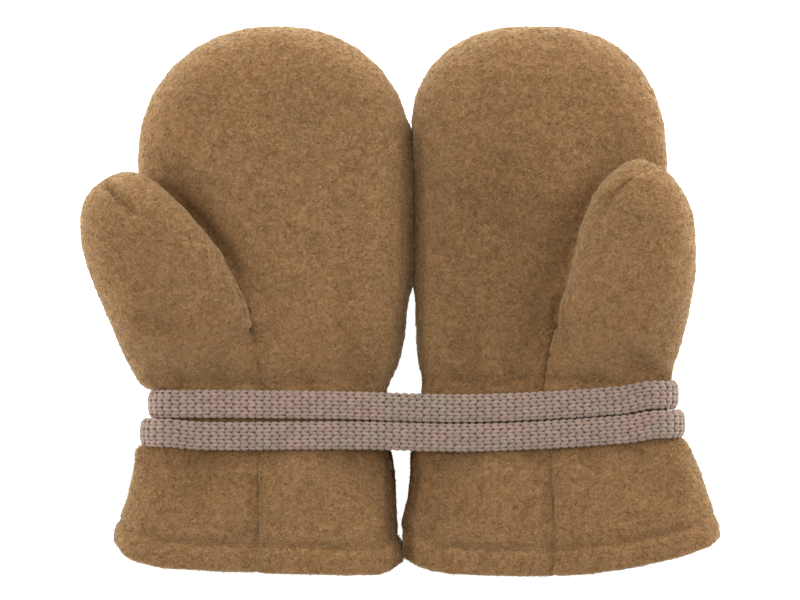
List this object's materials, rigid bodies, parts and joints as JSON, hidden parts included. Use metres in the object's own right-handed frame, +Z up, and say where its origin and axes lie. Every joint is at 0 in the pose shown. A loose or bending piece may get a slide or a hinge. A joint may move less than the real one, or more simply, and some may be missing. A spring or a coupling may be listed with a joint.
{
  "type": "pair of baby mittens",
  "caption": "Pair of thick wool fleece baby mittens laid side by side with the palms up, and the flat knitted joining cord wound round both wrists.",
  "frame": {"origin": "middle of the pair's footprint, on the surface it lies on", "axes": "+X across the pair from the left mitten to the right one, +Y from the hems to the fingertips, +Z up from the surface"},
  "size_m": [0.1596, 0.1376, 0.0262],
  "materials": {
    "fleece": "mid brown felted wool fleece with a soft, mottled, matte nap",
    "knit": "mauve taupe yarn knitted into a flat cord, matte"
  },
  "bodies": {
    "root": {"left_back": "fleece", "left_palm": "fleece", "left_thumb_front": "fleece", "left_thumb_back": "fleece", "right_back": "fleece", "right_palm": "fleece", "right_thumb_front": "fleece", "right_thumb_back": "fleece", "cord": "knit"}
  },
  "joints": []
}
